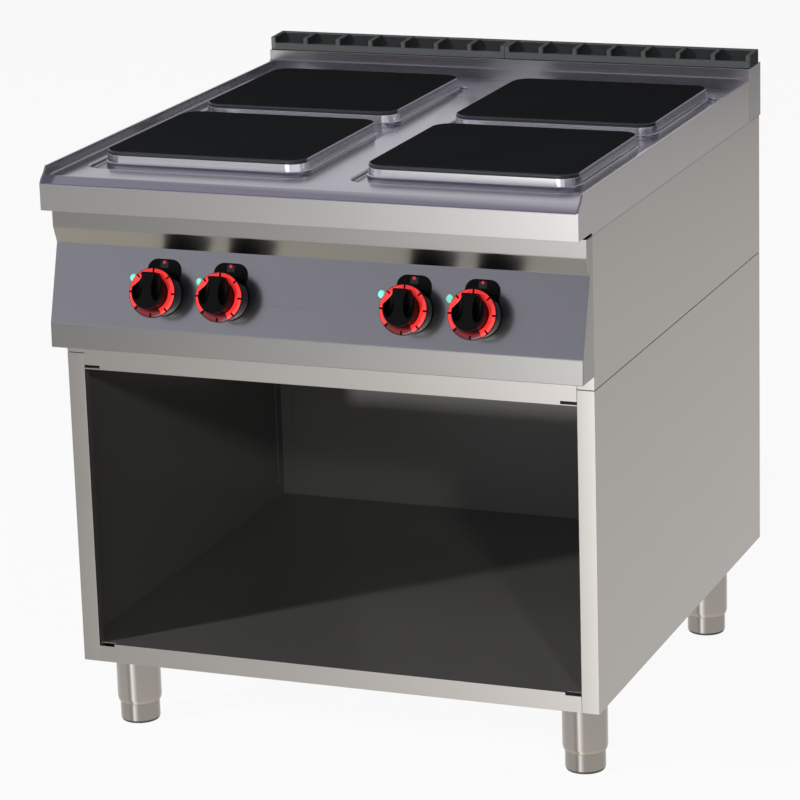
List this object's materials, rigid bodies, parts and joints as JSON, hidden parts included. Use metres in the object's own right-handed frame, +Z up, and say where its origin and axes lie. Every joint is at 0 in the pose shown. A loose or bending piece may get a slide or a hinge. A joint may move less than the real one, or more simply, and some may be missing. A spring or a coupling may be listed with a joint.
{
  "type": "electric cooker",
  "caption": "Free-standing catering electric cooker: square cast hot plates over an open cabinet base with adjustable feet, knobs on a sloping panel.",
  "frame": {"origin": "on the floor, under the middle of the object's box", "axes": "+X to the right seen from the front, -Y out of the front, +Z up"},
  "size_m": [0.8, 0.9304, 0.91],
  "materials": {
    "panel_steel": "brushed stainless sheet",
    "worktop_steel": "brushed stainless, pressed",
    "leg_steel": "satin stainless tube",
    "foot_steel": "satin stainless",
    "trim_steel": "polished stainless",
    "plate_iron": "black cast iron",
    "grille_iron": "enamelled cast iron",
    "plated_steel": "zinc plated",
    "ceramic": "glazed ceramic",
    "switch_plastic": "moulded thermoset",
    "gland_plastic": "moulded nylon",
    "earth_brass": "brass",
    "lamp_lens": "translucent lens",
    "bezel_plastic": "black moulding",
    "knob_plastic": "black phenolic",
    "ring_plastic": "red moulding with black marks"
  },
  "bodies": {
    "frame": {"hot_plate_front_left": "plate_iron", "hot_plate_front_right": "plate_iron", "hot_plate_back_left": "plate_iron", "hot_plate_back_right": "plate_iron", "base_side_left": "panel_steel", "upper_side_left": "panel_steel", "vent_grille_left": "grille_iron", "base_side_right": "panel_steel", "upper_side_right": "panel_steel", "vent_grille_right": "grille_iron", "base_floor": "panel_steel", "base_top_rail": "panel_steel", "base_back_panel": "panel_steel", "base_corner_strips": "panel_steel", "leg_plates": "panel_steel", "upper_bottom_panel": "panel_steel", "upper_back_panel": "panel_steel", "heat_shield": "panel_steel", "control_panel": "panel_steel", "upstand": "panel_steel", "leg_tubes": "leg_steel", "plate_trims": "trim_steel", "bezels": "bezel_plastic", "worktop": "worktop_steel", "plate_covers": "plated_steel", "plate_clamp_bars": "plated_steel", "plate_nuts": "plated_steel", "plate_terminals": "ceramic", "switch_bodies": "switch_plastic", "mains_terminal_block": "switch_plastic", "cable_gland": "gland_plastic", "earth_stud": "earth_brass", "pilot_lamps": "lamp_lens"},
    "foot_front_left_body": {"foot_front_left": "foot_steel"},
    "foot_front_right_body": {"foot_front_right": "foot_steel"},
    "foot_back_left_body": {"foot_back_left": "foot_steel"},
    "foot_back_right_body": {"foot_back_right": "foot_steel"},
    "knob_1_body": {"knob_1": "knob_plastic", "dial_ring_1": "ring_plastic", "switch_shaft_1": "plated_steel"},
    "knob_2_body": {"knob_2": "knob_plastic", "dial_ring_2": "ring_plastic", "switch_shaft_2": "plated_steel"},
    "knob_3_body": {"knob_3": "knob_plastic", "dial_ring_3": "ring_plastic", "switch_shaft_3": "plated_steel"},
    "knob_4_body": {"knob_4": "knob_plastic", "dial_ring_4": "ring_plastic", "switch_shaft_4": "plated_steel"}
  },
  "joints": [
    {"name": "foot_front_left_screw", "type": "slide", "parent": "frame", "child": "foot_front_left_body", "axis": [0, 0, -1], "range_m": [0, 0.03]},
    {"name": "foot_front_right_screw", "type": "slide", "parent": "frame", "child": "foot_front_right_body", "axis": [0, 0, -1], "range_m": [0, 0.03]},
    {"name": "foot_back_left_screw", "type": "slide", "parent": "frame", "child": "foot_back_left_body", "axis": [0, 0, -1], "range_m": [0, 0.03]},
    {"name": "foot_back_right_screw", "type": "slide", "parent": "frame", "child": "foot_back_right_body", "axis": [0, 0, -1], "range_m": [0, 0.03]},
    {"name": "knob_1_turn", "type": "hinge", "parent": "frame", "child": "knob_1_body", "pos_m": [-0.228, -0.40932, 0.69159], "axis": [0, 0.9573, -0.289], "range_deg": [0, 270]},
    {"name": "knob_2_turn", "type": "hinge", "parent": "frame", "child": "knob_2_body", "pos_m": [-0.126, -0.40932, 0.69159], "axis": [0, 0.9573, -0.289], "range_deg": [0, 270]},
    {"name": "knob_3_turn", "type": "hinge", "parent": "frame", "child": "knob_3_body", "pos_m": [0.149, -0.40932, 0.69159], "axis": [0, 0.9573, -0.289], "range_deg": [0, 270]},
    {"name": "knob_4_turn", "type": "hinge", "parent": "frame", "child": "knob_4_body", "pos_m": [0.249, -0.40932, 0.69159], "axis": [0, 0.9573, -0.289], "range_deg": [0, 270]}
  ]
}
